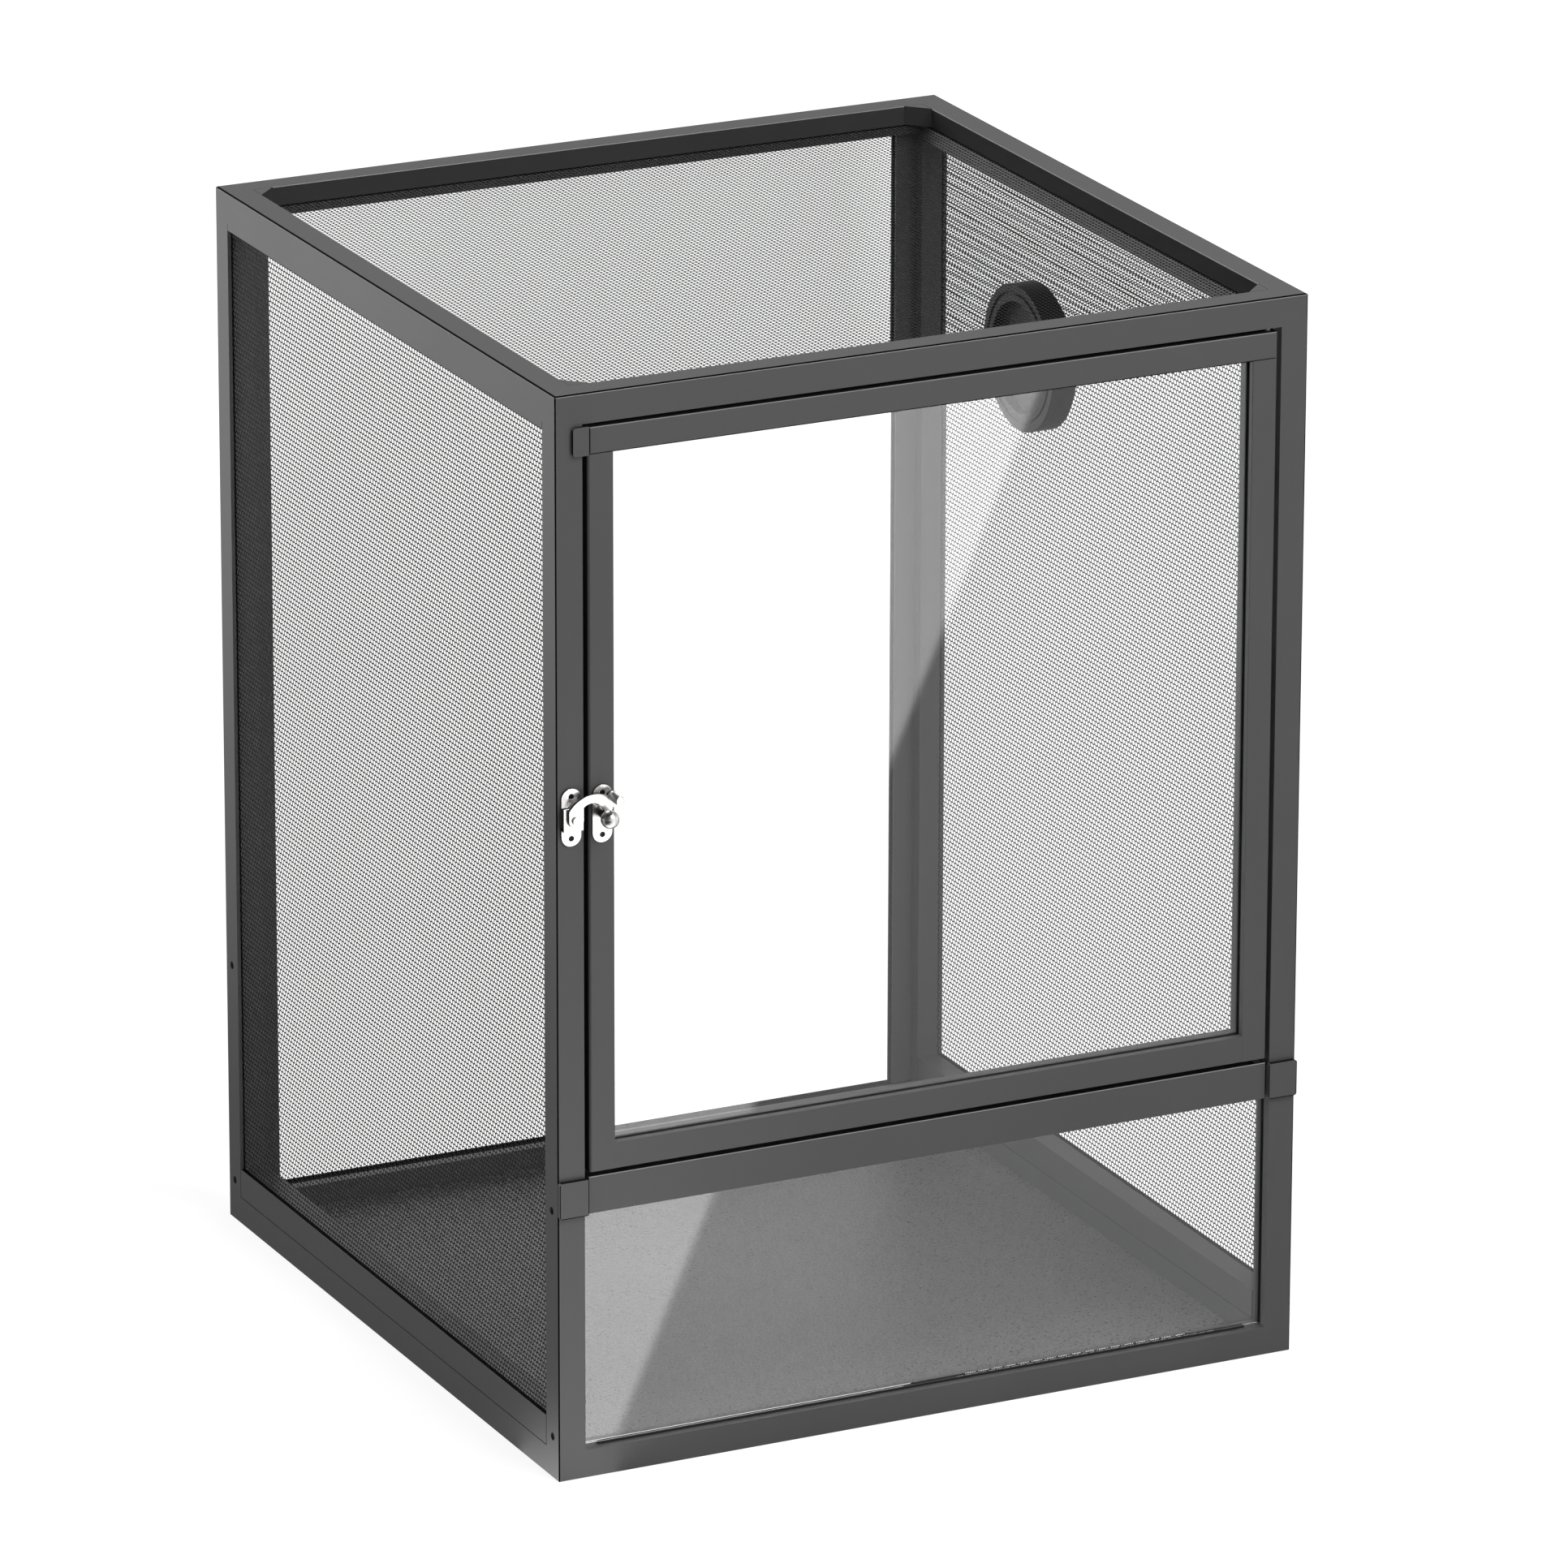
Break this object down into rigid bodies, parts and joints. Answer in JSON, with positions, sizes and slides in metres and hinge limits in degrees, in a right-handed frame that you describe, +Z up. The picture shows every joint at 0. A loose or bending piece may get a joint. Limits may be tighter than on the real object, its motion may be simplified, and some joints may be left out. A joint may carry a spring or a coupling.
{
  "type": "reptile terrarium",
  "caption": "Tall framed cage with screened sides and top, clear back, and a glazed front door on pins with a swing-hook latch, above a low fixed window.",
  "frame": {"origin": "on the floor, under the middle of the whole outline, latch included, which is 8.3 mm in front of the middle of the frame", "axes": "+Z up, -Y towards the front with the door, +X towards the hinge side"},
  "size_m": [0.45, 0.4666, 0.615],
  "materials": {
    "frame_paint": "fine satin powder coat, near black",
    "mesh_paint": "matte black perforated sheet",
    "floor_paint": "satin dark sheet",
    "clear_glass": "clear, polished edges",
    "black_rubber": "matte black",
    "bright_nickel": "bright nickel plate",
    "steel_pin": "plain turned steel",
    "washer_plastic": "plain black",
    "screw_steel": "blackened",
    "port_plastic": "fine matte black",
    "membrane_rubber": "soft matte black"
  },
  "bodies": {
    "cage": {"base_front_rail": "frame_paint", "base_back_rail": "frame_paint", "base_left_rail": "frame_paint", "base_right_rail": "frame_paint", "floor_panel": "floor_paint", "front_left_post": "frame_paint", "front_right_post": "frame_paint", "back_left_post": "frame_paint", "back_right_post": "frame_paint", "left_sill": "frame_paint", "right_sill": "frame_paint", "front_header": "frame_paint", "back_header": "frame_paint", "left_header": "frame_paint", "right_header": "frame_paint", "crown_front_rail": "frame_paint", "crown_back_rail": "frame_paint", "crown_left_rail": "frame_paint", "crown_right_rail": "frame_paint", "crown_corner_gussets": "frame_paint", "left_mesh": "mesh_paint", "right_mesh": "mesh_paint", "top_mesh": "mesh_paint", "back_left_channel": "frame_paint", "back_right_channel": "frame_paint", "back_pane": "clear_glass", "back_pane_seal": "black_rubber", "crossbar": "frame_paint", "left_crossbar_connector": "frame_paint", "right_crossbar_connector": "frame_paint", "lower_pane": "clear_glass", "lower_pane_seal": "black_rubber", "lower_pane_rest": "black_rubber", "port_flange": "port_plastic", "port_membrane": "membrane_rubber", "port_retaining_ring": "port_plastic", "upper_hinge_pin": "steel_pin", "lower_hinge_pin": "steel_pin", "hinge_washer": "washer_plastic", "latch_base_plate": "bright_nickel", "latch_screws": "screw_steel", "latch_rivet": "bright_nickel"},
    "door": {"door_top_rail": "frame_paint", "door_bottom_rail": "frame_paint", "door_left_stile": "frame_paint", "door_right_stile": "frame_paint", "door_pane": "clear_glass", "door_pane_seal": "black_rubber", "door_end_cap": "frame_paint", "keeper_plate": "bright_nickel", "keeper_screws": "screw_steel", "keeper_ball_stud": "bright_nickel"},
    "hook": {"latch_arm": "bright_nickel", "latch_knob": "bright_nickel"}
  },
  "joints": [
    {"name": "door_swing", "type": "hinge", "parent": "cage", "child": "door", "pos_m": [0.2023, -0.2122, 0.38], "axis": [0, 0, 1], "range_deg": [0, 100]},
    {"name": "latch_swing", "type": "hinge", "parent": "cage", "child": "hook", "pos_m": [-0.2159, -0.2217, 0.3801], "axis": [0, -1, 0], "range_deg": [0, 100]}
  ]
}
